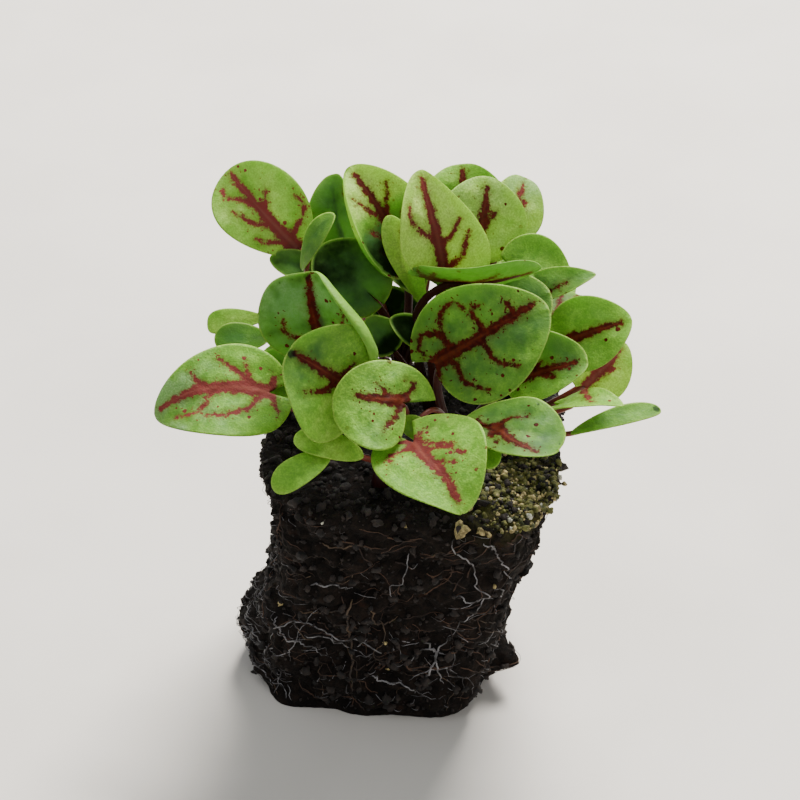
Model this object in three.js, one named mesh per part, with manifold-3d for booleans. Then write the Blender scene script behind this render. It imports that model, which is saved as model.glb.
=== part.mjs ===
// Red-veined sorrel plug plant: eight seedlings sown together in one rooted block of dark peat.
// Millimetres, +Z up. The origin is the middle of the plug's flat base.

import * as THREE from 'three';
import { mergeVertices } from 'three/addons/utils/BufferGeometryUtils.js';
import Module from 'manifold-3d';

const wasm = await Module();
wasm.setup();

// Plug: a block with rounded corners, wider at the top than at the base.
const PLUG_HEIGHT = 36;
const BASE = { left: -14.5, right: 14.5, half_depth: 14.5 };
const TOP = { left: -16.2, right: 23.5, half_depth: 18.5 };
const CORNER_POWER = 5;
const PLUG_SIDES = 42;
const PLUG_LEVELS = [0, 1.5, 4, 7, 10, 13, 16, 19, 22, 25, 28, 31, 33.5, 35];
const TOP_RINGS = [0.94, 0.8, 0.62, 0.42, 0.2];
const CRUMB_HEIGHT = 0.45;
// Clumps of peat that stand out of the side, and hollows with a reach below zero: heading in degrees,
// height, reach, spread and rise.
const CLUMPS = [
  { heading: 193, height: 6.5, reach: 4, spread: 30, rise: 6.3 },
  { heading: 176, height: 3, reach: 2, spread: 27, rise: 4.4 },
  { heading: 341, height: 4.3, reach: 4, spread: 11, rise: 2.2 },
  { heading: 60, height: 7, reach: 1.8, spread: 26, rise: 5 },
  { heading: 118, height: 14, reach: 1.2, spread: 30, rise: 6 },
  { heading: 288, height: 3, reach: 0.9, spread: 23, rise: 3 },
  { heading: 200, height: 24, reach: -4, spread: 37, rise: 7 },
  { heading: 223, height: 33, reach: -2.2, spread: 24, rise: 7 },
  { heading: 338, height: 9, reach: -1.1, spread: 20, rise: 3.7 },
  { heading: 326, height: 0, reach: -1.2, spread: 16, rise: 5 },
  { heading: 352, height: 19, reach: -0.9, spread: 36, rise: 7 },
];

// Roots lie on the plug in one net: some circle it and the others wander down across them.
const ROOT_RADIUS = 0.35;
const ROOT_CLEARANCE = 0.5;
const ROOT_SIDES = 4;
const ROOT_STEP = 3.8;
const ROOT_SEED = 11;
const CIRCLING_HEIGHTS = [7.5, 17];
const DESCENDING_ROOTS = 8;
const ROOT_STATION = 5;
const ROOT_FOOT = 2.6;

// Stems stand in round holes in the top of the plug.
const STEM_RADIUS = 1.3;
const STEM_TOP = PLUG_HEIGHT + 2.2;
const STEM_SIDES = 6;
const HOLE_DEPTH = 4;
const CLEARANCE = 0.3;

// Leaf blades are thin plates with a heart-shaped base.
const BLADE_THICKNESS = 0.7;
const BLADE_ROWS = 6;
const BLADE_COLUMNS = 3;
const COTYLEDON_ROWS = 5;
const COTYLEDON_COLUMNS = 2;
const WAVE = 0.03;
const PETIOLE_RADIUS = 0.65;
const COTYLEDON_STALK_RADIUS = 0.45;
const PETIOLE_SIDES = 5;
const PETIOLE_STEPS = 4;

// A leaf is given by the junction of its petiole, its tip, its width and the way its upper face looks:
// heading in degrees from the front (-Y) towards +X, and elevation in degrees. A width, lobe, egg, point or
// blunt may be a pair, for the left and the right half as seen from above with the tip ahead.
const trueLeaf = (junction, tip, width, face, shape = {}) => ({
  junction, tip, width, face,
  lobe: 0.12, fold: 0.25, arch: 0.1, point: 0.12, egg: 0.2, blunt: 0, notch: 0.16, cotyledon: false,
  ...shape,
});
const cotyledon = (junction, tip, width, face, shape = {}) => ({
  junction, tip, width, face,
  lobe: 0, fold: 0.05, arch: 0.1, point: 0, egg: -0.25, blunt: 0, notch: 0.16, cotyledon: true,
  ...shape,
});

const SEEDLINGS = [
  {
    name: 'seedling_left',
    crown: [-7, -5],
    leaves: [
      trueLeaf([-14, -6, 45.5], [-28.5, -9, 43], 13, [-12, 58],
        { lobe: 0.2, fold: 0.15, arch: 0.15, egg: 0.25, point: 0.2 }),
      trueLeaf([-5, -4.2, 49.5], [-9, -2.8, 62], [15.2, 18], [-25, 25],
        { lobe: 0.15, fold: 0.3, arch: 0.08, egg: [-0.15, 0.3], point: 0, blunt: [0.55, 0.35] }),
      trueLeaf([-10.5, -2, 44.5], [-16, -1, 47.5], 6.5, [-30, 40]),
    ],
  },
  {
    name: 'seedling_back_left',
    crown: [-6, 6],
    leaves: [
      trueLeaf([-12.5, 11, 56.5], [-22.7, 16, 64.6], [10.2, 12], [-10, 40],
        { lobe: 0.04, fold: 0.15, egg: [-0.3, 0], point: 0 }),
      trueLeaf([-6.7, 13, 56.5], [-9, 18, 64], 7.5, [-30, 35], { fold: 0.3, blunt: 0.3 }),
      trueLeaf([-10.5, 9, 54.8], [-16.2, 10, 55.6], 3.8, [-20, 45]),
      trueLeaf([-10, 11, 45], [-17, 16, 47], 9, [240, 60]),
      trueLeaf([-7, 4, 48], [-14, 6, 51.5], 8, [-60, 50]),
      trueLeaf([-12, 7, 42], [-18.5, 9, 39.5], 8, [250, 70]),
      cotyledon([-11, 3.2, 58.4], [-7, 5.2, 65.9], 4.2, [-60, 20]),
      cotyledon([-15.5, 3, 50.8], [-23.5, 3, 49.2], 3, [0, 50], { egg: -0.5, blunt: 0.3 }),
      cotyledon([-15, 1, 49], [-22, 0, 49], 4, [0, 50]),
    ],
  },
  {
    name: 'seedling_front',
    crown: [1, -10],
    leaves: [
      trueLeaf([-2.5, -11.5, 50.8], [-10.2, -12, 56.2], [16, 13.6], [-5, 45],
        { lobe: [0.3, 0.12], egg: [0.3, 0.2], blunt: 0.3 }),
      trueLeaf([4.3, -14, 51], [-4.1, -17, 51.1], [13, 11.4], [5, 55],
        { lobe: [0.02, 0.5], egg: 0.05, blunt: [0, 0.2], fold: 0.1, notch: 0.05 }),
      trueLeaf([6, -18, 48], [13.2, -28, 45.1], [15.4, 12], [-5, 65],
        { lobe: 0.25, fold: 0.12, point: [0.05, 0.25], egg: [0.2, 0.35] }),
      cotyledon([-0.5, -15, 43], [-9, -17, 46.5], 4, [0, 60]),
      cotyledon([-4.5, -17, 44.5], [-11, -22, 42], 4.2, [-10, 60]),
    ],
  },
  {
    name: 'seedling_front_right',
    crown: [10, -7],
    leaves: [
      trueLeaf([15.7, -14, 48.4], [24.2, -17, 47.9], [10.8, 9], [0, 80],
        { lobe: [0.5, 0.35], fold: 0.1, egg: [0, -0.15], point: 0, blunt: [0.35, 0], notch: 0.03 }),
      trueLeaf([7.5, -8, 53], [21.5, -6, 61], [14.5, 15.4], [5, 42],
        { lobe: [0.17, 0.03], fold: 0.1, point: 0.05 }),
      trueLeaf([17, -5, 49], [26.5, -5, 53.1], [10.4, 7.4], [20, 52],
        { lobe: 0.1, point: 0, blunt: 0.2 }),
      cotyledon([6.3, -13.9, 48.8], [4.9, -14.6, 46.2], 4, [0, 60]),
      cotyledon([14.5, -13, 45.5], [15.5, -17, 44], 3.4, [0, 60]),
    ],
  },
  {
    name: 'seedling_right',
    crown: [17, 0],
    leaves: [
      trueLeaf([22.5, 1.5, 51], [31.5, 3, 54.5], 9.5, [20, 45], { fold: 0.1 }),
      trueLeaf([26, 1, 44.9], [31, 4, 49.9], 8, [30, 45]),
      trueLeaf([23, -3, 44.8], [31.3, -7, 48.1], 4.6, [60, 84], { fold: 0.1 }),
      trueLeaf([22, 6, 46], [30.5, 11, 47], 9, [90, 60]),
      trueLeaf([20, 7, 49], [24.5, 14, 50.5], 9, [130, 60]),
      cotyledon([25, -8, 43.8], [36, -2, 44.4], 2.7, [0, 62], { blunt: 0.2 }),
    ],
  },
  {
    name: 'seedling_middle',
    crown: [6, 1],
    leaves: [
      trueLeaf([9.5, 1, 50.2], [21, 3, 57.6], 15, [0, 40], { fold: 0.1 }),
      trueLeaf([7.5, 4, 59.5], [4, 8, 71.5], [11.8, 10.5], [30, 22],
        { lobe: [0.05, 0.3], fold: 0.3, egg: [0.2, 0.6], point: 0.1 }),
      trueLeaf([5.2, 1.8, 59.8], [19.8, 2.5, 62], [8, 9], [180, 38],
        { fold: 0.1, arch: -0.085, lobe: [0, 0.15], egg: [0.5, -0.15], point: 0.2 }),
      trueLeaf([4.9, 5, 51.8], [-0.5, 8.5, 64], [2.6, 5], [-10, 25], { lobe: 0, egg: [-0.9, -0.5] }),
      trueLeaf([5, -2, 52.2], [1.1, -1, 54.8], [3, 4.5], [20, 40]),
      cotyledon([1.3, 2, 47.5], [-2.4, 3, 51.9], 5, [0, 40], { egg: 0.2 }),
    ],
  },
  {
    name: 'seedling_back_right',
    crown: [13, 8],
    leaves: [
      trueLeaf([16.5, 6.5, 54.5], [26.5, 7.5, 58], 4.2, [10, 55], { point: 0.3, fold: 0.1 }),
      trueLeaf([15, 9, 57.8], [23.2, 10, 56.2], [8, 9], [10, 50]),
      trueLeaf([10.7, 11.2, 57.5], [11.7, 15.7, 66.5], 12, [15, 40], { fold: 0.1, egg: 0.1 }),
      trueLeaf([14, 15, 58.7], [16.2, 20, 64.2], 8, [30, 40], { blunt: 0.4 }),
      trueLeaf([17, 13, 48], [20, 22, 51], 11, [150, 60]),
      trueLeaf([10, 15, 48], [12, 27, 51], 12, [175, 60]),
      cotyledon([15, 13, 42], [21, 20, 42], 4.4, [150, 70]),
    ],
  },
  {
    name: 'seedling_back',
    crown: [1, 9],
    leaves: [
      trueLeaf([2, 9, 56.8], [-6, 14, 67.8], [10.4, 10.6], [25, 32], { fold: 0.5 }),
      trueLeaf([-2.8, 5.2, 54.6], [-9.4, 7, 59.4], 10, [10, 40],
        { fold: 0.1, lobe: 0.35, egg: 0.1, notch: 0.03 }),
      trueLeaf([3.4, 8.5, 53.2], [-2.6, 11.5, 55.8], [2.6, 6], [30, 35]),
      cotyledon([3, 11.5, 40], [-1, 13.5, 50], 8, [0, 30], { egg: 0.2 }),
      trueLeaf([8.8, 17, 59], [7.6, 21, 65], 11, [0, 35], { blunt: 0.3 }),
      trueLeaf([-3, 14.5, 51.5], [-8, 26, 54], 12, [200, 55]),
      trueLeaf([-4, 14, 43], [-11, 23, 43], 10, [215, 65]),
      trueLeaf([4.5, 14, 54], [2, 23, 58.5], 11, [190, 50]),
      cotyledon([1, 15, 42], [0, 25, 43], 5.4, [185, 65]),
    ],
  },
];

const radians = THREE.MathUtils.degToRad;
const mix = THREE.MathUtils.lerp;

function solidFrom(geometry) {
  const bare = geometry.index ? geometry.clone() : geometry;
  bare.deleteAttribute('normal');
  bare.deleteAttribute('uv');
  const merged = mergeVertices(bare, 1e-4);
  const mesh = new wasm.Mesh({
    numProp: 3,
    vertProperties: new Float32Array(merged.attributes.position.array),
    triVerts: new Uint32Array(merged.index.array),
  });
  return new wasm.Manifold(mesh);
}

function geometryFrom(points, triangles) {
  const geometry = new THREE.BufferGeometry();
  geometry.setAttribute('position', new THREE.Float32BufferAttribute(points.flat(), 3));
  geometry.setIndex(triangles.flat());
  return geometry;
}

function meshFrom(name, solid, colour, roughness) {
  const { vertProperties, triVerts } = solid.getMesh();
  const geometry = new THREE.BufferGeometry();
  geometry.setAttribute('position', new THREE.BufferAttribute(vertProperties, 3));
  geometry.setIndex(new THREE.BufferAttribute(triVerts, 1));
  geometry.computeVertexNormals();
  const material = new THREE.MeshStandardMaterial({ color: colour, roughness, metalness: 0 });
  const mesh = new THREE.Mesh(geometry, material);
  mesh.name = name;
  return mesh;
}

const join = (solids) => solids.reduce((whole, solid) => whole.add(solid));

function tube(path, radius, sides, steps) {
  const section = new THREE.Shape();
  for (let i = 0; i < sides; i++) {
    const angle = (2 * Math.PI * i) / sides;
    const [x, y] = [radius * Math.cos(angle), radius * Math.sin(angle)];
    if (i === 0) section.moveTo(x, y);
    else section.lineTo(x, y);
  }
  section.closePath();
  return solidFrom(new THREE.ExtrudeGeometry(section, { steps, extrudePath: path, bevelEnabled: false }));
}

// Plug

// Shallow swells and hollows that run round the side.
const relief = (angle, z) =>
  0.35 * Math.sin(7 * angle + 0.45 * z) +
  0.3 * Math.sin(11 * angle - 0.62 * z + 1) +
  0.25 * Math.sin(3 * angle + 0.9 * z + 2);

function clumpReach(angle, z) {
  return CLUMPS.reduce((sum, clump) => {
    const turn = Math.cos(angle - radians(clump.heading));
    const across = THREE.MathUtils.radToDeg(Math.acos(THREE.MathUtils.clamp(turn, -1, 1))) / clump.spread;
    const along = (z - clump.height) / clump.rise;
    return sum + clump.reach * Math.exp(-across * across * 2 - along * along);
  }, 0);
}

// Point of the plug's side at a heading about its axis; out moves it straight out from the axis.
function sidePoint(angle, z, out = 0) {
  const share = z / PLUG_HEIGHT;
  const left = mix(BASE.left, TOP.left, share);
  const right = mix(BASE.right, TOP.right, share);
  const depth = mix(BASE.half_depth, TOP.half_depth, share);
  const [c, s] = [Math.cos(angle), Math.sin(angle)];
  const half = (right - left) / 2;
  const squareness = Math.abs(c / half) ** CORNER_POWER + Math.abs(s / depth) ** CORNER_POWER;
  const radius = squareness ** (-1 / CORNER_POWER) + relief(angle, z) + clumpReach(angle, z) + out;
  return [(left + right) / 2 + radius * c, radius * s, z];
}

function plugGeometry() {
  const points = [];
  const triangles = [];
  const headings = Array.from({ length: PLUG_SIDES }, (_, i) => (2 * Math.PI * i) / PLUG_SIDES);
  for (const z of PLUG_LEVELS) points.push(...headings.map((angle) => sidePoint(angle, z)));
  const [middle_x, middle_y] = [(TOP.left + TOP.right) / 2, 0];
  for (const ring of TOP_RINGS) {
    for (const angle of headings) {
      const [x, y] = sidePoint(angle, PLUG_LEVELS.at(-1));
      const crumb = CRUMB_HEIGHT * Math.sin(5 * angle + 9 * ring) * Math.sin(17 * ring + 2 * angle);
      points.push([mix(middle_x, x, ring), mix(middle_y, y, ring), PLUG_HEIGHT - 0.4 + crumb]);
    }
  }
  const bands = PLUG_LEVELS.length + TOP_RINGS.length - 1;
  for (let band = 0; band < bands; band++) {
    for (let i = 0; i < PLUG_SIDES; i++) {
      const next = (i + 1) % PLUG_SIDES;
      const [a, b] = [band * PLUG_SIDES + i, band * PLUG_SIDES + next];
      triangles.push([a, b, b + PLUG_SIDES], [a, b + PLUG_SIDES, a + PLUG_SIDES]);
    }
  }
  const base_middle = points.push([0, 0, 0]) - 1;
  const top_middle = points.push([middle_x, middle_y, PLUG_HEIGHT]) - 1;
  for (let i = 0; i < PLUG_SIDES; i++) {
    const next = (i + 1) % PLUG_SIDES;
    triangles.push([base_middle, next, i]);
    triangles.push([top_middle, bands * PLUG_SIDES + i, bands * PLUG_SIDES + next]);
  }
  return geometryFrom(points, triangles);
}

function upright([x, y], radius, low, high) {
  const geometry = new THREE.CylinderGeometry(radius, radius, high - low, STEM_SIDES);
  geometry.rotateX(Math.PI / 2);
  geometry.translate(x, y, (low + high) / 2);
  return solidFrom(geometry);
}

function soilPlug() {
  const floor = PLUG_HEIGHT - HOLE_DEPTH;
  const holes = SEEDLINGS.map(({ crown }) => upright(crown, STEM_RADIUS + CLEARANCE, floor, PLUG_HEIGHT + 3));
  return holes.reduce((soil, hole) => soil.subtract(hole), solidFrom(plugGeometry()));
}

// Random numbers from 0 to 1 that are the same in every run.
function seeded(seed) {
  let state = seed;
  return () => {
    state = (state * 1664525 + 1013904223) % 4294967296;
    return state / 4294967296;
  };
}

// A root's path: a smooth line through its stations of heading and height, laid on the side of the plug.
class RootPath extends THREE.Curve {
  constructor(stations) {
    super();
    const flat = stations.map(([heading, z]) => new THREE.Vector3(radians(heading), z / PLUG_HEIGHT, 0));
    this.flat = new THREE.CatmullRomCurve3(flat);
  }

  getPoint(t) {
    const { x, y } = this.flat.getPoint(t);
    return new THREE.Vector3(...sidePoint(x, y * PLUG_HEIGHT, ROOT_CLEARANCE + ROOT_RADIUS));
  }
}

function rootStations() {
  const random = seeded(ROOT_SEED);
  const spread = (size) => size * (2 * random() - 1);
  const circling = CIRCLING_HEIGHTS.map((height) => {
    const start = 360 * random();
    return Array.from({ length: 12 }, (_, i) => [start + 33.5 * i, height + spread(2.2)]);
  });
  const descending = Array.from({ length: DESCENDING_ROOTS }, (_, i) => {
    let heading = (360 * i) / DESCENDING_ROOTS + spread(8);
    const stations = [];
    for (let z = 20 + 13 * random(); z > ROOT_FOOT; z -= ROOT_STATION) {
      stations.push([heading, z]);
      heading += spread(11);
    }
    return [...stations, [heading, ROOT_FOOT]];
  });
  return [...circling, ...descending];
}

function surfaceRoots() {
  const tubes = rootStations().map((stations) => {
    const path = new RootPath(stations);
    return tube(path, ROOT_RADIUS, ROOT_SIDES, Math.ceil(path.getLength() / ROOT_STEP));
  });
  return join(tubes);
}

// Leaves

function heading([azimuth, elevation]) {
  const [a, e] = [radians(azimuth), radians(elevation)];
  return new THREE.Vector3(Math.sin(a) * Math.cos(e), -Math.cos(a) * Math.cos(e), Math.sin(e));
}

// Directions of a blade: along its midrib, across it and out of its upper face.
function bladeFrame(leaf) {
  const junction = new THREE.Vector3(...leaf.junction);
  const along = new THREE.Vector3(...leaf.tip).sub(junction);
  const length = along.length();
  along.normalize();
  const up = heading(leaf.face);
  up.addScaledVector(along, -up.dot(along)).normalize();
  const across = new THREE.Vector3().crossVectors(along, up);
  return { junction, along, across, up, length };
}

// The value for the half of the leaf that v is in.
const ofHalf = (value, v) => (Array.isArray(value) ? value[v < 0 ? 0 : 1] : value);

// Point of the upper face: t runs from the junction (0) to the tip (1), v across the blade (-1 to 1).
function bladePoint(leaf, frame, t, v, below = 0) {
  const { length } = frame;
  const [width, lobe, egg] = [leaf.width, leaf.lobe, leaf.egg].map((value) => ofHalf(value, v));
  const [point, blunt] = [leaf.point, leaf.blunt].map((value) => ofHalf(value, v));
  const turn = (Math.PI - leaf.notch) * (1 - t);
  const cosine = Math.cos(turn);
  const pointed = 1 - point * Math.max(0, cosine) ** 3;
  const bulge = Math.sin(turn) ** (1 - blunt * Math.max(0, cosine));
  const rim_x = (width / 2) * bulge * (1 - egg * cosine) * pointed;
  const rim_y = length * ((1 - lobe) / 2 + ((1 + lobe) / 2) * cosine);
  const x = v * rim_x;
  const y = mix(length * t, rim_y, Math.abs(v) ** 1.3);
  const bow = leaf.arch * 4 * y * (1 - y / length) * (y > 0 ? 1 : 0.5);
  const fold = leaf.fold * (Math.sqrt(x * x + 0.6) - Math.sqrt(0.6));
  const side = v > 0 ? 0 : 2;
  const wave = WAVE * width * v * v * Math.sin(3.2 * Math.PI * t + side);
  return frame.junction.clone()
    .addScaledVector(frame.across, x)
    .addScaledVector(frame.along, y)
    .addScaledVector(frame.up, bow + fold + wave - below);
}

function blade(leaf) {
  const frame = bladeFrame(leaf);
  const rows = leaf.cotyledon ? COTYLEDON_ROWS : BLADE_ROWS;
  const columns = leaf.cotyledon ? COTYLEDON_COLUMNS : BLADE_COLUMNS;
  const row_size = 2 * columns + 1;
  const face_size = rows * row_size + 1;
  const points = [];
  for (const below of [0, BLADE_THICKNESS]) {
    for (let row = 0; row < rows; row++) {
      for (let column = -columns; column <= columns; column++) {
        points.push(bladePoint(leaf, frame, row / rows, column / columns, below).toArray());
      }
    }
    points.push(bladePoint(leaf, frame, 1, 0, below).toArray());
  }
  const tip = face_size - 1;
  const at = (row, column) => (row === rows ? tip : row * row_size + column);
  const upper = [];
  for (let row = 0; row < rows; row++) {
    for (let column = 0; column < row_size - 1; column++) {
      const [a, b] = [at(row, column), at(row, column + 1)];
      const [c, d] = [at(row + 1, column + 1), at(row + 1, column)];
      if (row === rows - 1) upper.push([a, b, tip]);
      else if (column < columns) upper.push([a, b, c], [a, c, d]);
      else upper.push([a, b, d], [b, c, d]);
    }
  }
  const lower = upper.map(([a, b, c]) => [a + face_size, c + face_size, b + face_size]);
  const rim = [];
  for (let column = 0; column < row_size - 1; column++) rim.push([at(0, column + 1), at(0, column)]);
  for (let row = 0; row < rows; row++) {
    rim.push([at(row, 0), at(row + 1, 0)]);
    rim.push([at(row + 1, row_size - 1), at(row, row_size - 1)]);
  }
  const walls = rim.flatMap(([a, b]) => [[a, b, b + face_size], [a, b + face_size, a + face_size]]);
  return solidFrom(geometryFrom(points, [...upper, ...lower, ...walls]));
}

// The petiole leaves the crown upwards and meets the blade from behind, sunk into its underside.
function petiole(leaf, crown) {
  const frame = bladeFrame(leaf);
  const radius = leaf.cotyledon ? COTYLEDON_STALK_RADIUS : PETIOLE_RADIUS;
  const foot = new THREE.Vector3(...crown, PLUG_HEIGHT + 0.6);
  const end = bladePoint(leaf, frame, 0.18, 0, BLADE_THICKNESS + 0.1);
  const reach = end.distanceTo(foot);
  const rise = foot.clone().add(new THREE.Vector3(0, 0, 0.4 * (end.z - foot.z)));
  const approach = end.clone()
    .addScaledVector(frame.along, -0.35 * reach)
    .addScaledVector(frame.up, -0.12 * reach);
  const path = new THREE.CubicBezierCurve3(foot, rise, approach, end);
  return tube(path, radius, PETIOLE_SIDES, PETIOLE_STEPS);
}

function seedling({ crown, leaves }) {
  const stem = upright(crown, STEM_RADIUS, PLUG_HEIGHT - HOLE_DEPTH + CLEARANCE, STEM_TOP);
  return join([stem, ...leaves.flatMap((leaf) => [petiole(leaf, crown), blade(leaf)])]);
}

const plant = new THREE.Group();
plant.add(meshFrom('soil_plug', soilPlug(), 0x1a1410, 0.95));
plant.add(meshFrom('surface_roots', surfaceRoots(), 0xb9ab97, 0.8));
for (const one of SEEDLINGS) plant.add(meshFrom(one.name, seedling(one), 0x6fa53a, 0.5));

export default plant;
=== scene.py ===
import math

import bmesh
import bpy
import numpy as np
from mathutils import Euler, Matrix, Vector, noise


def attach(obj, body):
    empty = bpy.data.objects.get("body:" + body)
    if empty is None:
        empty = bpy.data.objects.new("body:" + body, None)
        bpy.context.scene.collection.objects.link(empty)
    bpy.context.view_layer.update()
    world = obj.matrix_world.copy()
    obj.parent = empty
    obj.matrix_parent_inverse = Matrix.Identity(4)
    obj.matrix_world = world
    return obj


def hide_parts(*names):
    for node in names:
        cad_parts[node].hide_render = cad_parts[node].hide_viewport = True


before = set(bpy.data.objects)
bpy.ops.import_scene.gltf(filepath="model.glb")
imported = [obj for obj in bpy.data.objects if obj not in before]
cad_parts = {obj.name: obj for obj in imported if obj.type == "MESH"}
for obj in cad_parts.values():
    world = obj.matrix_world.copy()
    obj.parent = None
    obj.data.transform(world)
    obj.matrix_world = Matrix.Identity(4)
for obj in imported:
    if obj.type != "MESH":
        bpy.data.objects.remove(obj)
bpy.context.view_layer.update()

MM = 0.001

# Plug: a block with rounded corners, wider at the top than at the base.
PLUG_HEIGHT = 36
BASE = {"left": -14.5, "right": 14.5, "half_depth": 14.5}
TOP = {"left": -16.2, "right": 23.5, "half_depth": 18.5}
CORNER_POWER = 5
# Clumps of peat that stand out of the side, and hollows with a reach below zero: heading in degrees,
# height, reach, spread and rise.
CLUMPS = [
    (193, 6.5, 4, 30, 6.3),
    (176, 3, 2, 27, 4.4),
    (341, 4.3, 4, 11, 2.2),
    (60, 7, 1.8, 26, 5),
    (118, 14, 1.2, 30, 6),
    (288, 3, 0.9, 23, 3),
    (200, 24, -4, 37, 7),
    (223, 33, -2.2, 24, 7),
    (338, 9, -1.1, 20, 3.7),
    (326, 0, -1.2, 16, 5),
    (352, 19, -0.9, 36, 7),
]
PLUG_COLUMNS = 420
PLUG_ROWS = 100
PLUG_TOP_ROWS = 44

# Blades are thinner than the 0.7 mm plates of the solids.
WAVE = 0.03
BLADE_SINK = 0.15
BLADE_THICKNESS = 0.32
BLADE_ROWS = 46
BLADE_COLUMNS = 19
PETIOLE_RADIUS = 0.62
STALK_RADIUS = 0.42
STEM_RADIUS = 1.25
STEM_DEPTH = 3.5
STEM_PROFILE = (1, 1, 1, 1, 0.98, 0.9, 0.72, 0.4)
PETIOLE_STEPS = 22
PETIOLE_END_STEPS = 10
PETIOLE_SIDES = 10
# The mound of leaves, in whose middle the petioles are darkened with painted shade.
MOUND = {"middle": 4, "half_width": 17, "half_depth": 15}


# Leaves

def leaf(junction, tip, width, face, veins=None, **shape):
    """A true leaf: its petiole's junction, its tip, its width and where its upper face looks.
    face is a heading in degrees from the front (-Y) towards +X, and an elevation in degrees. A width,
    lobe, egg, point or blunt may be a pair, for the left and the right half with the tip ahead. A tone
    may be a pair, for the base and the tip: below 0 it paints deep shade, and above 1 it paints light as
    from behind."""
    form = dict(lobe=0.12, fold=0.25, arch=0.1, point=0.12, egg=0.2, blunt=0, notch=0.16, roll=(0, 0),
                cotyledon=False, spots=0.4, tone=0.5, pink=0.2, specks=0, bloom=0, mark=None)
    form.update(shape, junction=junction, tip=tip, width=width, face=face, veins=veins)
    return form


def cotyledon(junction, tip, width, face, **shape):
    """A seed leaf: narrow, plain green, on a thin stalk."""
    form = dict(lobe=0, fold=0.05, arch=0.1, point=0, egg=-0.25, cotyledon=True, spots=0, tone=0.6, pink=0)
    form.update(shape)
    return leaf(junction, tip, width, face, [], **form)


# Veins are lines in a leaf's own plan: across in half widths, along in lengths from the junction.
VEINS_LEFT = [
    [(0, 0), (0.12, 0.3), (0.16, 0.55), (0.12, 0.75), (0.03, 0.93)],
    [(0, 0.03), (0.15, 0.12), (0.35, 0.14), (0.6, 0.15)],
    [(0.1, 0.12), (0.3, 0.18), (0.5, 0.26), (0.75, 0.38)],
    [(0.16, 0.5), (0.35, 0.58), (0.55, 0.62)],
    [(0, 0), (0.15, -0.05), (0.3, -0.07)],
    [(0.12, 0.36), (0.0, 0.48), (-0.3, 0.6), (-0.3, 0.8)],
    [(-0.02, 0.06), (-0.2, 0.12), (-0.4, 0.2), (-0.48, 0.42), (-0.45, 0.55)],
    [(0, 0.01), (-0.25, -0.03), (-0.5, -0.05)],
]
VEINS_BACK_LEFT = [
    [(0, 0), (0, 0.3), (0.02, 0.6), (0.04, 0.94)],
    [(0.02, 0.45), (-0.05, 0.58), (-0.2, 0.7), (-0.4, 0.8), (-0.35, 0.9)],
    [(-0.02, 0.18), (-0.1, 0.34), (-0.33, 0.45), (-0.5, 0.66)],
    [(-0.03, 0.07), (-0.15, 0.14), (-0.4, 0.24), (-0.53, 0.33)],
    [(0.03, 0.48), (0.22, 0.52), (0.42, 0.62)],
    [(0.02, 0.08), (0.25, 0.14), (0.6, 0.19), (0.82, 0.25), (0.85, 0.38)],
]
VEINS_UPRIGHT_LEFT = [
    [(-0.05, 0), (-0.12, 0.35), (-0.08, 0.65), (-0.02, 0.95)],
    [(-0.1, 0.2), (-0.4, 0.35), (-0.6, 0.45), (-0.55, 0.6)],
    [(-0.08, 0.3), (0.3, 0.42), (0.5, 0.6)],
]
VEINS_FRONT_UPPER = [
    [(0, 0), (-0.02, 0.22), (0, 0.58), (0, 0.91)],
    [(-0.03, 0.22), (-0.22, 0.29), (-0.38, 0.45), (-0.48, 0.57)],
    [(0.02, 0.1), (0.14, 0.18), (0.25, 0.19), (0.4, 0.16)],
]
VEINS_FRONT_MIDDLE = [
    [(0.03, 0), (0.08, 0.27), (0.12, 0.46), (0.22, 0.64)],
    [(0.03, 0), (0.12, -0.03), (0.35, -0.2), (0.47, -0.1)],
    [(0, 0.03), (-0.28, 0.13), (-0.62, 0.37)],
    [(0.09, 0.25), (0.23, 0.22), (0.4, 0.31)],
]
VEINS_FRONT_LOW = [
    [(0, 0), (0, 0.26), (-0.06, 0.48), (-0.09, 0.65), (-0.05, 0.88)],
    [(0, 0.03), (-0.1, 0.05), (-0.3, 0.17), (-0.56, 0.31)],
    [(-0.02, 0.19), (-0.13, 0.21), (-0.31, 0.26), (-0.46, 0.34), (-0.6, 0.49)],
    [(0, 0), (-0.1, -0.04), (-0.35, -0.07)],
    [(0.02, 0), (0.12, -0.03), (0.42, -0.15)],
    [(0.03, 0.02), (0.17, 0.06), (0.55, 0.07), (0.6, 0.16)],
    [(-0.06, 0.4), (-0.2, 0.44), (-0.36, 0.52)],
]
VEINS_RIM = [
    [(0.02, 0), (0.2, 0.18), (0.4, 0.36), (0.47, 0.58), (0.52, 0.75)],
    [(0, 0), (-0.1, 0.05), (-0.37, 0.17), (-0.53, 0.36)],
    [(0.02, 0), (0.05, -0.08), (-0.16, -0.3)],
    [(0.1, 0.08), (0.35, 0.05), (0.6, 0.2)],
]
VEINS_LARGE = [
    [(0, 0), (-0.02, 0.17), (-0.03, 0.34), (-0.09, 0.6), (-0.13, 0.77), (-0.18, 0.9)],
    [(-0.03, 0.2), (-0.15, 0.19), (-0.38, 0.16), (-0.65, 0.21), (-0.75, 0.3), (-0.72, 0.37), (-0.6, 0.42)],
    [(-0.05, 0.17), (-0.36, 0.14), (-0.52, 0.01), (-0.4, -0.06), (-0.2, -0.06)],
    [(-0.05, 0.47), (-0.2, 0.48), (-0.52, 0.46), (-0.52, 0.54)],
    [(-0.12, 0.72), (-0.23, 0.74), (-0.38, 0.73)],
    [(-0.02, 0.4), (0.13, 0.45), (0.35, 0.46), (0.52, 0.53), (0.68, 0.63)],
    [(0, 0.12), (0.22, 0.17), (0.47, 0.18), (0.67, 0.25), (0.82, 0.34)],
    [(0, 0.02), (0.2, 0), (0.45, -0.02)],
]
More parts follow.
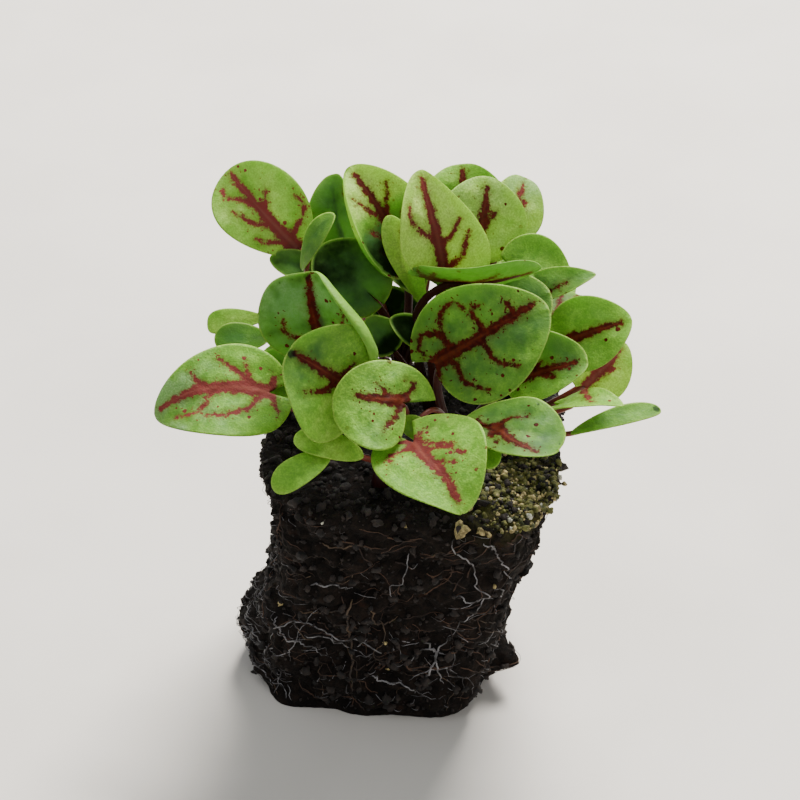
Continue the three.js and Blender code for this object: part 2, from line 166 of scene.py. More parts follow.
# A leaf of which little shows has a midrib with short branches.
VEINS_SHORT = [
    [(0, 0.05), (0.02, 0.45), (0.02, 0.85)],
    [(0.02, 0.4), (0.2, 0.5), (0.28, 0.58)],
    [(0, 0.25), (-0.18, 0.36), (-0.25, 0.46)],
]
# A leaf that is partly hidden shows a thin midrib with no branches, or short marks.
VEINS_STRAIGHT = [[(0, 0.05), (0.02, 0.4), (0.03, 0.86)]]
VEINS_SLANTED = [[(-0.9, 0.3), (-0.3, 0.42), (0.4, 0.58)]]
VEINS_TWO_MARKS = [
    [(-0.3, 0.02), (-0.15, 0.14), (0, 0.28)],
    [(0.5, 0.42), (0.3, 0.56), (0.2, 0.66)],
]
VEINS_RIGHT_MARK = [[(0.85, 0.84), (0.68, 0.78), (0.5, 0.68)]]
VEINS_TOP = [
    [(-0.04, 0), (-0.07, 0.3), (-0.1, 0.53), (-0.11, 0.72), (-0.07, 0.92)],
    [(-0.07, 0.25), (0.08, 0.29), (0.3, 0.34), (0.53, 0.47)],
    [(-0.09, 0.3), (-0.2, 0.33), (-0.5, 0.46), (-0.65, 0.6), (-0.6, 0.72)],
    [(0.02, 0), (0.28, 0.04), (0.5, 0.15), (0.65, 0.32)],
]

# Each seedling's crown, where its stem meets the plug's top, and its leaves.
SEEDLINGS = {
    "seedling_left": ((-7, -5), [
        leaf((-14, -6, 45.5), (-28.5, -9, 43), 13, (-12, 58), VEINS_LEFT,
             lobe=0.2, fold=0.15, arch=0.15, egg=0.25, point=0.2, pink=0.7, tone=(1.0, 0.75), spots=0.7,
             bloom=(0, 0.75)),
        leaf((-5, -4.2, 49.5), (-9, -2.8, 62), (15.2, 18), (-25, 25), VEINS_UPRIGHT_LEFT,
             lobe=0.15, fold=0.3, arch=0.08, egg=(-0.15, 0.3), point=0, blunt=(0.55, 0.35),
             roll=(0, 0.3), tone=-0.2, specks=0.5, bloom=(0, 0.45), pink=0, spots=0.7, mark=(-0.05, 0.96)),
        leaf((-10.5, -2, 44.5), (-16, -1, 47.5), 6.5, (-30, 40), [], tone=0),
    ]),
    "seedling_back_left": ((-6, 6), [
        leaf((-12.5, 11, 56.5), (-22.7, 16, 64.6), (10.2, 12), (-10, 40), VEINS_BACK_LEFT,
             lobe=0.04, fold=0.15, egg=(-0.3, 0), point=0, pink=0.9, tone=1.45, spots=0.6, specks=0.5,
             bloom=0.15),
        leaf((-6.7, 13, 56.5), (-9, 18, 64), 7.5, (-30, 35), VEINS_RIGHT_MARK,
             fold=0.3, blunt=0.3, tone=-0.1, pink=0),
        leaf((-10.5, 9, 54.8), (-16.2, 10, 55.6), 3.8, (-20, 45), [], tone=-0.35, spots=0),
        leaf((-10, 11, 45), (-17, 16, 47), 9, (240, 60)),
        leaf((-7, 4, 48), (-14, 6, 51.5), 8, (-60, 50), [], tone=-0.7),
        leaf((-12, 7, 42), (-18.5, 9, 39.5), 8, (250, 70)),
        cotyledon((-11, 3.2, 58.4), (-7, 5.2, 65.9), 4.2, (-60, 20), tone=0.3),
        cotyledon((-15.5, 3, 50.8), (-23.5, 3, 49.2), 3, (0, 50), egg=-0.5, blunt=0.3, tone=1.5),
        cotyledon((-15, 1, 49), (-22, 0, 49), 4, (0, 50), tone=0),
    ]),
    "seedling_front": ((1, -10), [
        leaf((-2.5, -11.5, 50.8), (-10.2, -12, 56.2), (16, 13.6), (-5, 45), VEINS_FRONT_UPPER,
             lobe=(0.3, 0.12), egg=(0.3, 0.2), blunt=0.3, spots=0.3, specks=0.3, tone=(1.3, 0.55),
             pink=0.1, mark=(-0.03, 0.95)),
        leaf((4.3, -14, 51), (-4.1, -17, 51.1), (13, 11.4), (5, 55), VEINS_FRONT_MIDDLE,
             lobe=(0.02, 0.5), egg=0.05, blunt=(0, 0.2), fold=0.1, notch=0.05, spots=0.8, tone=0.8,
             pink=0.05),
        leaf((6, -18, 48), (13.2, -28, 45.1), (15.4, 12), (-5, 65), VEINS_FRONT_LOW,
             lobe=0.25, fold=0.12, point=(0.05, 0.25), egg=(0.2, 0.35), spots=0.9, tone=1.1, pink=0.5),
        cotyledon((-0.5, -15, 43), (-9, -17, 46.5), 4, (0, 60), tone=1.3),
        cotyledon((-4.5, -17, 44.5), (-11, -22, 42), 4.2, (-10, 60), tone=1.1),
    ]),
    "seedling_front_right": ((10, -7), [
        leaf((15.7, -14, 48.4), (24.2, -17, 47.9), (10.8, 9), (0, 80), VEINS_RIM,
             lobe=(0.5, 0.35), fold=0.1, egg=(0, -0.15), point=0, blunt=(0.35, 0), notch=0.03, spots=0.7,
             specks=0.8, tone=0.3, pink=0),
        leaf((7.5, -8, 53), (21.5, -6, 61), (14.5, 15.4), (5, 42), VEINS_LARGE,
             lobe=(0.17, 0.03), fold=0.1, point=0.05, spots=1, tone=0.45, pink=0),
        leaf((17, -5, 49), (26.5, -5, 53.1), (10.4, 7.4), (20, 52), VEINS_SHORT,
             lobe=0.1, point=0, blunt=0.2, spots=1, tone=(0.7, 0.3), pink=0),
        cotyledon((6.3, -13.9, 48.8), (4.9, -14.6, 46.2), 4, (0, 60)),
        cotyledon((14.5, -13, 45.5), (15.5, -17, 44), 3.4, (0, 60)),
    ]),
    "seedling_right": ((17, 0), [
        leaf((22.5, 1.5, 51), (31.5, 3, 54.5), 9.5, (20, 45), VEINS_STRAIGHT,
             fold=0.1, tone=0.9, spots=0.2, pink=0),
        leaf((26, 1, 44.9), (31, 4, 49.9), 8, (30, 45), VEINS_SHORT, pink=1, tone=1.9),
        leaf((23, -3, 44.8), (31.3, -7, 48.1), 4.6, (60, 84), VEINS_SLANTED,
             fold=0.1, pink=0.6, tone=1.2, specks=1),
        leaf((22, 6, 46), (30.5, 11, 47), 9, (90, 60)),
        leaf((20, 7, 49), (24.5, 14, 50.5), 9, (130, 60)),
        cotyledon((25, -8, 43.8), (36, -2, 44.4), 2.7, (0, 62),
                  blunt=0.2, tone=0.3, specks=0.5, mark=(0, 0.95)),
    ]),
    "seedling_middle": ((6, 1), [
        leaf((9.5, 1, 50.2), (21, 3, 57.6), 15, (0, 40), [], fold=0.1, tone=0.25, spots=0),
        leaf((7.5, 4, 59.5), (4, 8, 71.5), (11.8, 10.5), (30, 22), VEINS_TOP,
             lobe=(0.05, 0.3), fold=0.3, egg=(0.2, 0.6), point=0.1, tone=2.2, pink=0.5),
        leaf((5.2, 1.8, 59.8), (19.8, 2.5, 62), (8, 9), (180, 38),
             fold=0.1, arch=-0.085, lobe=(0, 0.15), egg=(0.5, -0.15), point=0.2, tone=0.1),
        leaf((4.9, 5, 51.8), (-0.5, 8.5, 64), (2.6, 5), (-10, 25), VEINS_RIGHT_MARK,
             lobe=0, egg=(-0.9, -0.5), tone=(0.9, 2.6), spots=0),
        leaf((5, -2, 52.2), (1.1, -1, 54.8), (3, 4.5), (20, 40), [], tone=-1.0, spots=0),
        cotyledon((1.3, 2, 47.5), (-2.4, 3, 51.9), 5, (0, 40), egg=0.2, tone=(-0.9, 0.1)),
    ]),
    "seedling_back_right": ((13, 8), [
        leaf((16.5, 6.5, 54.5), (26.5, 7.5, 58), 4.2, (10, 55), VEINS_TWO_MARKS,
             point=0.3, fold=0.1, tone=0.3, pink=0),
        leaf((15, 9, 57.8), (23.2, 10, 56.2), (8, 9), (10, 50), VEINS_RIGHT_MARK, tone=0.9),
        leaf((10.7, 11.2, 57.5), (11.7, 15.7, 66.5), 12, (15, 40), VEINS_SHORT,
             fold=0.1, tone=1.8, egg=0.1, bloom=0.3),
        leaf((14, 15, 58.7), (16.2, 20, 64.2), 8, (30, 40), VEINS_SHORT,
             blunt=0.4, tone=2.2, pink=0.8, bloom=0.8),
        leaf((17, 13, 48), (20, 22, 51), 11, (150, 60)),
        leaf((10, 15, 48), (12, 27, 51), 12, (175, 60)),
        cotyledon((15, 13, 42), (21, 20, 42), 4.4, (150, 70)),
    ]),
    "seedling_back": ((1, 9), [
        leaf((2, 9, 56.8), (-6, 14, 67.8), (10.4, 10.6), (25, 32),
             fold=0.5, roll=(0.2, 0), tone=(-0.8, 3.0)),
        leaf((-2.8, 5.2, 54.6), (-9.4, 7, 59.4), 10, (10, 40), [],
             fold=0.1, lobe=0.35, egg=0.1, notch=0.03, tone=(-0.25, -0.75), spots=0),
        leaf((3.4, 8.5, 53.2), (-2.6, 11.5, 55.8), (2.6, 6), (30, 35), [], tone=-0.7, spots=0),
        cotyledon((3, 11.5, 40), (-1, 13.5, 50), 8, (0, 30), egg=0.2, tone=-1.1),
        leaf((8.8, 17, 59), (7.6, 21, 65), 11, (0, 35), VEINS_SHORT, blunt=0.3, tone=1.2),
        leaf((-3, 14.5, 51.5), (-8, 26, 54), 12, (200, 55)),
        leaf((-4, 14, 43), (-11, 23, 43), 10, (215, 65)),
        leaf((4.5, 14, 54), (2, 23, 58.5), 11, (190, 50)),
        cotyledon((1, 15, 42), (0, 25, 43), 5.4, (185, 65)),
    ]),
}


def of_half(value, v):
    """The value for the half of the leaf that v is in."""
    return np.where(v < 0, value[0], value[1]) if isinstance(value, tuple) else value


def smooth_step(value):
    share = np.clip(value, 0, 1)
    return share * share * (3 - 2 * share)


def unit(vector):
    return vector / np.linalg.norm(vector)


def heading(azimuth, elevation):
    a, e = math.radians(azimuth), math.radians(elevation)
    return np.array([math.sin(a) * math.cos(e), -math.cos(a) * math.cos(e), math.sin(e)])


def smooth_line(stations, steps=8):
    """Points of a smooth curve through the stations."""
    p = np.array(stations, float)
    p = np.vstack([2 * p[0] - p[1], p, 2 * p[-1] - p[-2]])
    t = np.linspace(0, 1, steps, endpoint=False)[:, None]
    parts = []
    for a, b, c, d in zip(p, p[1:], p[2:], p[3:]):
        parts.append(0.5 * (2 * b + (c - a) * t + (2 * a - 5 * b + 4 * c - d) * t ** 2
                            + (3 * b - a - 3 * c + d) * t ** 3))
    return np.vstack(parts + [p[-2:-1]])


class Blade:
    """A leaf blade: its frame, its flat plan and its relief."""

    def __init__(self, form):
        self.form = form
        self.junction = np.array(form["junction"], float)
        chord = np.array(form["tip"], float) - self.junction
        self.length = np.linalg.norm(chord)
        self.half_width = np.mean(form["width"]) / 2
        self.along = chord / self.length
        up = heading(*form["face"])
        self.up = unit(up - self.along * (up @ self.along))
        self.across = np.cross(self.along, self.up)

    def plan(self, t, v):
        """Across and along, in mm: t runs from junction to tip, v across the blade from -1 to 1."""
        width, lobe, egg, point, blunt = (of_half(self.form[key], v)
                                          for key in ("width", "lobe", "egg", "point", "blunt"))
        turn = (math.pi - self.form["notch"]) * (1 - t)
        cosine = np.cos(turn)
        pointed = 1 - point * np.maximum(0, cosine) ** 3
        bulge = np.maximum(0, np.sin(turn)) ** (1 - blunt * np.maximum(0, cosine))
        rim_x = width / 2 * bulge * (1 - egg * cosine) * pointed
        rim_y = self.length * ((1 - lobe) / 2 + (1 + lobe) / 2 * cosine)
        x = v * rim_x
        y = self.length * t + (rim_y - self.length * t) * np.abs(v) ** 1.3
        return x, y

    def relief(self, t, v, x, y):
        form = self.form
        bow = form["arch"] * 4 * y * (1 - y / self.length) * np.where(y > 0, 1, 0.5)
        fold = form["fold"] * (np.sqrt(x * x + 0.6) - math.sqrt(0.6))
        wave = WAVE * of_half(form["width"], v) * v * v * np.sin(3.2 * math.pi * t + np.where(v > 0, 0, 2))
        return bow + fold + wave

    def place(self, x, y, z):
        return (self.junction + x[..., None] * self.across + y[..., None] * self.along
                + z[..., None] * self.up)

    def under_midrib(self, t, depth):
        """Point of the midrib at t, moved down from the upper face by depth mm."""
        t, v = np.array([t]), np.zeros(1)
        x, y = self.plan(t, v)
        return self.place(x, y, self.relief(t, v, x, y) - depth)[0]


def line_distance(x, y, line):
    """Distance from each point to a line of points, and the nearest place on the line, 0 to 1."""
    best = np.full(x.shape, 1e9)
    where = np.zeros(x.shape)
    count = len(line) - 1
    for i, ((ax, ay), (bx, by)) in enumerate(zip(line[:-1], line[1:])):
        ex, ey = bx - ax, by - ay
        size = ex * ex + ey * ey + 1e-9
        k = np.clip(((x - ax) * ex + (y - ay) * ey) / size, 0, 1)
        d = np.hypot(x - ax - k * ex, y - ay - k * ey)
        nearer = d < best
        best = np.where(nearer, d, best)
        where = np.where(nearer, (i + k) / count, where)
    return best, where


def plain_veins(rng):
    """Veins of a leaf that has no drawn ones: a midrib and side veins that curve forwards."""
    lines = [[(0, 0), (rng.uniform(-0.05, 0.05), 0.45), (rng.uniform(-0.05, 0.05), 0.9)]]
    for side in (-1, 1):
        for start, reach, end in ((0.05, 0.62, 0.18), (0.2, 0.55, 0.48), (0.42, 0.42, 0.68)):
            if rng.random() < 0.15:
                continue
            reach *= rng.uniform(0.75, 1.2)
            end += rng.uniform(-0.08, 0.08)
            lines.append([(0, start), (side * reach * 0.45, start + 0.35 * (end - start)),
                          (side * reach, end)])
        lines.append([(0, 0.01), (side * 0.25, -0.03), (side * rng.uniform(0.4, 0.55), -0.05)])
    return lines


# Half widths of a vein's red at its start and at its end, and the distance over which neighbouring
# veins run together.
MIDRIB_RED = (0.95, 0.38)
SIDE_RED = (0.44, 0.2)
VEIN_MERGE = 0.2
# The midrib stands up at its base, side veins lie in furrows, and the blade puckers between them.
MIDRIB_HEIGHT = 0.09
FURROW_DEPTH = 0.14
LEAF_PUCKER = 0.34
COTYLEDON_PUCKER = 0.1
# Turn of a rolled margin, in radians, and how much painted light brightens it.
ROLL_TURN = 2.1
ROLL_PAINTED_LIGHT = 1.2
# A distance that is as good as any greater one.
FAR = 9.0


def vein_fields(veins, blade, x, y):
    """At each point, how far it lies outside the red, its distance from the midrib in the ridge's
    half widths and in mm, the ridge's height, and how far it is in a furrow."""
    red, height, furrow = np.zeros((3, len(x)))
    ridge, middle = np.full((2, len(x)), FAR)
    size = min(1.0, 0.35 + blade.half_width / 9)
    for i, line in enumerate(veins):
        drawn = smooth_line([(a * blade.half_width, b * blade.length) for a, b in line])
        distance, where = line_distance(x, y, drawn)
        first, last = MIDRIB_RED if i == 0 else SIDE_RED
        red += np.exp(-(distance - size * (first + (last - first) * where)) / VEIN_MERGE)
        if i == 0:
            middle = distance
            ridge = distance / (0.35 * (1.15 - where))
            height = MIDRIB_HEIGHT * (1 - where) * np.exp(-(distance / 0.45) ** 2)
        else:
            furrow = np.maximum(furrow, np.exp(-(distance / 0.5) ** 2) * (1 - 0.6 * where))
    return -VEIN_MERGE * np.log(red + 1e-9), ridge, middle, height, furrow


def roll_margins(blade, t, v, x, z):
    """Turns a rolled margin up about a line beside the rim. Gives x, z and the turn at each point."""
    angle = np.zeros(len(x))
    for side, share in zip((-1, 1), blade.form["roll"]):
        if share:
            start = 1 - share * np.clip(np.minimum(t, 1.15 - t) * 4, 0.05, 1)
            rim_x = np.abs(blade.plan(t, np.full(len(t), float(side)))[0])
            whole = np.maximum(1e-3, (1 - start) * rim_x)
            turn = ROLL_TURN * np.maximum(0, side * v - start) * rim_x / whole
            radius = whole / ROLL_TURN
            rolled = side * v > start
            x = np.where(rolled, side * (start * rim_x + radius * np.sin(turn)), x)
            z = np.where(rolled, z + radius * (1 - np.cos(turn)), z)
            angle = np.where(rolled, -side * turn, angle)
    return x, z, angle


def plate_faces(rows, row_size):
    """Faces of a closed plate whose two sides have rows of points from the base up and one at the tip."""
    count = rows * row_size + 1

    def at(row, column):
        return count - 1 if row == rows else row * row_size + column

    faces = []
    border = [(at(0, c + 1), at(0, c)) for c in range(row_size - 1)]
    for row in range(rows):
        for column in range(row_size - 1):
            a, b = at(row, column), at(row, column + 1)
            c, d = at(row + 1, column + 1), at(row + 1, column)
            faces.append((a, b, c) if row == rows - 1 else (a, b, c, d))
        border.append((at(row, 0), at(row + 1, 0)))
        border.append((at(row + 1, row_size - 1), at(row, row_size - 1)))
    under = [tuple(i + count for i in reversed(face)) for face in faces]
    return faces + under + [(a, b, b + count, a + count) for a, b in border]


def along_blade(value, share):
    """A value, or a pair for the base and the tip, at a share of the way to the tip."""
    base, tip = value if isinstance(value, tuple) else (value, value)
    return base + (tip - base) * smooth_step((share - 0.2) / 0.6)


def blade_mesh(form, rng):
    """Points, faces and named values of one blade, a thin closed plate."""
    blade = Blade(form)
    coarse, pucker = (2, COTYLEDON_PUCKER) if form["cotyledon"] else (1, LEAF_PUCKER)
    rows, half = BLADE_ROWS // coarse, BLADE_COLUMNS // coarse
    t, v = np.meshgrid(np.arange(rows) / rows, np.arange(-half, half + 1) / half, indexing="ij")
    t, v = np.append(t.ravel(), 1.0), np.append(v.ravel(), 0.0)
    x, y = blade.plan(t, v)
    veins = form["veins"] if form["veins"] is not None else plain_veins(rng)
    vein, ridge, middle, height, furrow = vein_fields(veins, blade, x, y)
    mark = np.full(len(x), FAR)
    if form["mark"]:
        mark = np.hypot(x - form["mark"][0] * blade.half_width, y - form["mark"][1] * blade.length)
    edge, sides = np.linspace(0, 1, 60), np.ones(60)
    right, left = (np.column_stack(blade.plan(edge, side * sides)) for side in (1, -1))
    rim, _ = line_distance(x, y, np.vstack([right, left[::-1]]))
    seed = 7.1 * blade.half_width + blade.length
    puckers = np.array([noise.noise(Vector((a * 0.42, b * 0.42, seed))) for a, b in zip(x, y)])
    calm = np.clip(middle / 1.6, 0.1, 1) * np.clip(rim / 1.5, 0.2, 1)
    z = blade.relief(t, v, x, y) + height + pucker * puckers * calm - FURROW_DEPTH * furrow
    x, z, angle = roll_margins(blade, t, v, x, z)
    # Painted light: a rolled margin is made brighter, as if light shone through it.
    tone = along_blade(form["tone"], y / blade.length) + rng.uniform(-0.08, 0.08) + ROLL_PAINTED_LIGHT * (angle != 0)
    bottom = BLADE_SINK + BLADE_THICKNESS * np.clip(0.3 + rim / 0.6, 0.3, 1)
    nx, nz = np.sin(angle), np.cos(angle)
    points = [blade.place(x - depth * nx, y, z - depth * nz) for depth in (BLADE_SINK, bottom)]
    fields = dict(vein=vein, ridge=ridge, rim=rim, mark=mark, tone=tone,
                  bloom=along_blade(form["bloom"], y / blade.length))
    values = {key: np.tile(field, 2) for key, field in fields.items()}
    values["under"] = np.repeat([0.0, 1.0], len(x))
    values.update({key: form[key] for key in ("pink", "spots", "specks")})
    return np.vstack(points), plate_faces(rows, 2 * half + 1), values


def ring_faces(rings, size):
    """Faces between neighbouring rings that have size points each."""
    return [(ring * size + i, ring * size + j, (ring + 1) * size + j, (ring + 1) * size + i)
            for ring in range(rings - 1) for i, j in zip(range(size), [*range(1, size), 0])]


def tube(path, radii, sides):
    """Points and faces of a closed tube along a path, with a radius for each point of the path."""
    path = np.asarray(path, float)
    tangents = np.gradient(path, axis=0)
    tangents /= np.linalg.norm(tangents, axis=1)[:, None] + 1e-12
    normal = np.cross(tangents[0], (0, 0, 1) if abs(tangents[0][2]) < 0.9 else (1, 0, 0))
    turns = np.linspace(0, 2 * math.pi, sides, endpoint=False)
    points = []
    for centre, tangent, radius in zip(path, tangents, radii):
        normal = unit(normal - tangent * (normal @ tangent))
        side = np.cross(tangent, normal)
        points.append(centre + radius * (np.cos(turns)[:, None] * normal + np.sin(turns)[:, None] * side))
    faces = ring_faces(len(path), sides)
    faces.append(tuple(reversed(range(sides))))
    faces.append(tuple(range((len(path) - 1) * sides, len(path) * sides)))
    return np.vstack(points), faces


def bezier(a, b, c, d, steps):
    t = np.linspace(0, 1, steps)[:, None]
    return a * (1 - t) ** 3 + 3 * b * t * (1 - t) ** 2 + 3 * c * t ** 2 * (1 - t) + d * t ** 3


def petiole_mesh(form, crown):
    """The petiole rises from the crown, meets the blade from behind and thins out along its underside."""
    blade = Blade(form)
    radius, last = (STALK_RADIUS, 0.45) if form["cotyledon"] else (PETIOLE_RADIUS, 0.82)
    bottom = BLADE_SINK + BLADE_THICKNESS
    foot = np.array([*crown, PLUG_HEIGHT + 0.6])
    end = blade.under_midrib(0.18, bottom + 0.7 * radius)
    reach = np.linalg.norm(end - foot)
    rise = foot + np.array([0, 0, 0.4 * (end[2] - foot[2])])
    approach = end - 0.35 * reach * blade.along - 0.12 * reach * blade.up
    shares = np.linspace(0.22, last, PETIOLE_END_STEPS)
    thinning = np.linspace(radius * 0.6, 0.1, PETIOLE_END_STEPS)
    under = [blade.under_midrib(t, bottom - 0.12 + r) for t, r in zip(shares, thinning)]
    path = np.vstack([bezier(foot, rise, approach, end, PETIOLE_STEPS), under])
    radii = np.concatenate([np.linspace(radius * 1.1, radius * 0.8, PETIOLE_STEPS), thinning])
    points, faces = tube(path, radii, PETIOLE_SIDES)
    height = np.repeat(np.minimum(1, np.arange(len(path)) / (PETIOLE_STEPS - 1)), PETIOLE_SIDES)
    # Painted shade: the petioles darken towards the middle of the mound.
    from_middle = np.hypot((points[:, 0] - MOUND["middle"]) / MOUND["half_width"],
                           points[:, 1] / MOUND["half_depth"])
    return points, faces, dict(height=height, inside=1 - smooth_step((from_middle - 0.35) / 0.6))


# Plug

def plug_relief(angle, z):
    return (0.35 * np.sin(7 * angle + 0.45 * z) + 0.3 * np.sin(11 * angle - 0.62 * z + 1)
            + 0.25 * np.sin(3 * angle + 0.9 * z + 2))


def clump_reach(angle, z):
    total = 0
    for turn, height, reach, spread, rise in CLUMPS:
        apart = np.degrees(np.arccos(np.clip(np.cos(angle - math.radians(turn)), -1, 1))) / spread
        total = total + reach * np.exp(-apart * apart * 2 - ((z - height) / rise) ** 2)
    return total


def side_point(angle, z, out=0.0):
    """Point of the plug's side at a heading about its axis, moved straight out by out."""
    angle, z = np.asarray(angle, float), np.asarray(z, float)
    share = z / PLUG_HEIGHT
    left = BASE["left"] + (TOP["left"] - BASE["left"]) * share
    right = BASE["right"] + (TOP["right"] - BASE["right"]) * share
    depth = BASE["half_depth"] + (TOP["half_depth"] - BASE["half_depth"]) * share
    c, s = np.cos(angle), np.sin(angle)
    half = (right - left) / 2
    square = (np.abs(c / half) ** CORNER_POWER + np.abs(s / depth) ** CORNER_POWER) ** (-1 / CORNER_POWER)
    radius = square + plug_relief(angle, z) + clump_reach(angle, z) + out
    return np.stack(np.broadcast_arrays((left + right) / 2 + radius * c, radius * s, z), -1)


def crumble(point):
    """How far the crumbled peat stands out at a point, in mm."""
    p = Vector(point)
    bent = p + 1.3 * noise.noise_vector(p * 0.35)
    clod = 0.5 - noise.voronoi(bent * Vector((0.24, 0.24, 0.34)))[0][0]
    crumb = 0.5 - noise.voronoi(bent * 0.8 + Vector((3, 1, 7)))[0][0]
    rough = noise.fractal(p * 0.8, 1.0, 2.1, 5)
    return 1.35 * clod + 0.5 * crumb + 0.38 * rough - 0.25


def mossy(x, y, z):
    """Share of moss at a place: the right of the plug's top, towards the front."""
    near = math.exp(-(((x - 18.5) / 5.5) ** 2 + ((y + 9) / 7.5) ** 2 + ((z - 36.5) / 3.2) ** 2))
    return min(1.0, 1.5 * near)


PLUG_MIDDLE = np.array([(TOP["left"] + TOP["right"]) / 2, 0.0, PLUG_HEIGHT])
RIM_HEIGHT = 34.6
# Level of the top before it crumbles, and the share of the crumble that shows there.
TOP_LEVEL = PLUG_HEIGHT - 0.55
TOP_CRUMBLE = 0.85


def side_points(angles, z):
    """A ring of points on the crumbled side at a height, and their crumble."""
    ring = side_point(angles, z)
    lift = np.array([crumble(p) for p in ring])
    out = ring[:, :2] - np.array([ring[:, 0].mean(), 0])
    out /= np.linalg.norm(out, axis=1)[:, None]
    ring[:, :2] += out * (lift * min(1.0, 0.25 + z / 1.5))[:, None]
    return ring, lift


def top_points(angles, share):
    """Points on the crumbled top at a share of the way from its middle to its rim, and their crumble."""
    rounding = math.sqrt(max(0.0, 1 - max(0.0, (share - 0.93) / 0.07) ** 2))
    ring = PLUG_MIDDLE + (side_point(angles, RIM_HEIGHT) - PLUG_MIDDLE) * share
    ring[:, 2] = RIM_HEIGHT + (TOP_LEVEL - RIM_HEIGHT) * rounding
    lift = np.array([crumble(p) for p in ring])
    ring[:, 2] += TOP_CRUMBLE * lift
    return ring, lift


def plug_mesh():
    angles = np.linspace(0, 2 * math.pi, PLUG_COLUMNS, endpoint=False)
    rings = [side_points(angles, z) for z in np.linspace(0, RIM_HEIGHT, PLUG_ROWS)]
    rings += [top_points(angles, share) for share in np.linspace(1, 0, PLUG_TOP_ROWS + 1)[1:-1]]
    ends = [[PLUG_MIDDLE[0], 0, PLUG_HEIGHT - 0.5], [0, 0, 0]]
    points = np.vstack([ring for ring, _ in rings] + ends)
    top_middle, base_middle = len(points) - 2, len(points) - 1
    faces = ring_faces(len(rings), PLUG_COLUMNS)
    last = (len(rings) - 1) * PLUG_COLUMNS
    for i in range(PLUG_COLUMNS):
        following = (i + 1) % PLUG_COLUMNS
        faces.append((top_middle, last + i, last + following))
        faces.append((base_middle, following, i))
    height = np.concatenate([lift for _, lift in rings] + [np.zeros(len(ends))])
    moss = np.array([mossy(*point) for point in points])
    return points, faces, dict(height=height, moss=moss)


FIBRE_COUNT = 420
CRUMB_COUNT = 4200
ROOT_COUNT = 130
ROOT_HAIR_COUNT = 520
GRAIN_COUNT = 1500
# Step of a path over the side of the plug, and about how far the side is from its middle.
PATH_STEP = 0.5
PLUG_REACH = 19
# Roots that stand out: radius, kind (0 pale, 1 tan) and places as (heading in degrees, height).
LONG_ROOTS = [
    (0.15, 0, [(293, 6), (295, 9.5), (298, 12), (300, 14.5)]),
    (0.13, 0, [(291, 13.5), (295, 12), (298, 10), (302, 6.5)]),
    (0.12, 0, [(285, 11), (290, 12), (296, 12), (302, 11.5)]),
    (0.14, 0, [(199, 11), (208, 12.5), (217, 12.5), (221, 10)]),
    (0.12, 0, [(199, 7), (210, 8), (219, 7), (218, 4)]),
    (0.12, 0, [(240, 23), (245, 23.5), (250, 23.5), (255, 22.5)]),
    (0.17, 1, [(256, 21), (256, 16), (258, 10), (260, 4.5)]),
    (0.13, 1, [(264, 20), (267, 18), (273, 17), (277, 18.5)]),
    (0.12, 1, [(241, 29.5), (249, 29.5), (256, 31), (263, 31)]),
    (0.12, 0, [(303, 33), (307, 31.5), (313, 28), (317, 25)]),
    (0.1, 0, [(310, 24.5), (314, 23), (316, 21), (316, 18.5)]),
    (0.1, 1, [(235, 17.5), (243, 18), (250, 19), (254, 20)]),
    (0.1, 0, [(298, 23), (305, 22), (311, 22.5)]),
    (0.12, 0, [(268, 7), (275, 6), (283, 6.5), (290, 5)]),
    (0.11, 0, [(225, 15), (230, 13), (238, 12.5), (246, 10)]),
    (0.12, 0, [(96, 22), (104, 18), (108, 12), (112, 6)]),
    (0.12, 1, [(40, 28), (38, 20), (44, 12), (42, 6)]),
    (0.11, 0, [(140, 16), (150, 14), (160, 15), (170, 11)]),
    (0.12, 0, [(8, 20), (2, 15), (-4, 12), (-14, 11)]),
]
# Grains on the side: heading in degrees, height, radius and kind (0 tan, 1 white).
SINGLE_GRAINS = [
    (296, 34.4, 0.95, 0), (302, 34.6, 0.7, 0), (304.5, 34.2, 0.5, 0), (225, 17, 0.4, 0), (273, 14, 0.3, 0),
    (275, 34.4, 0.3, 0), (244, 34.5, 0.25, 1), (276, 8, 0.25, 0), (310, 25, 0.3, 0), (205, 31, 0.4, 1),
    (212, 33, 0.4, 1), (20, 24, 0.5, 0), (80, 15, 0.4, 1), (130, 27, 0.5, 0), (160, 10, 0.4, 1),
]


def surface_place(angle, z, out=0.0):
    """Point on the crumbled side, moved out by out."""
    base = side_point(angle, z)
    return side_point(angle, z, float(crumble(base)) + out)


# Making meshes

class Parts:
    """Gathers closed shapes into one mesh. A value that a shape doesn't have is 0 there."""

    def __init__(self):
        self.points, self.faces, self.slots, self.values = [], [], [], []
        self.count = 0

    def add(self, points, faces, values=None, slot=0):
        self.points.append(np.asarray(points, float))
        self.faces += [tuple(i + self.count for i in face) for face in faces]
        self.slots += [slot] * len(faces)
        self.values.append((len(points), values or {}))
        self.count += len(points)

    def make(self, name, *materials):
        mesh = bpy.data.meshes.new(name)
        mesh.from_pydata((np.vstack(self.points) * MM).tolist(), [], self.faces)
        for material in materials:
            mesh.materials.append(material)
        mesh.polygons.foreach_set("material_index", self.slots)
        mesh.polygons.foreach_set("use_smooth", [True] * len(self.faces))
        for key in sorted({key for _, values in self.values for key in values}):
            column = np.concatenate([np.broadcast_to(values.get(key, 0.0), size)
                                     for size, values in self.values])
            layer = mesh.attributes.new(key, "FLOAT", "POINT")
            layer.data.foreach_set("value", column.astype(np.float32))
        thing = bpy.data.objects.new(name, mesh)
        bpy.context.scene.collection.objects.link(thing)
        return thing


# Materials

def srgb(red, green, blue):
    """A colour given as 0 to 255 on screen."""
    shares = (red / 255, green / 255, blue / 255)
    return (*(c / 12.92 if c <= 0.04045 else ((c + 0.055) / 1.055) ** 2.4 for c in shares), 1)


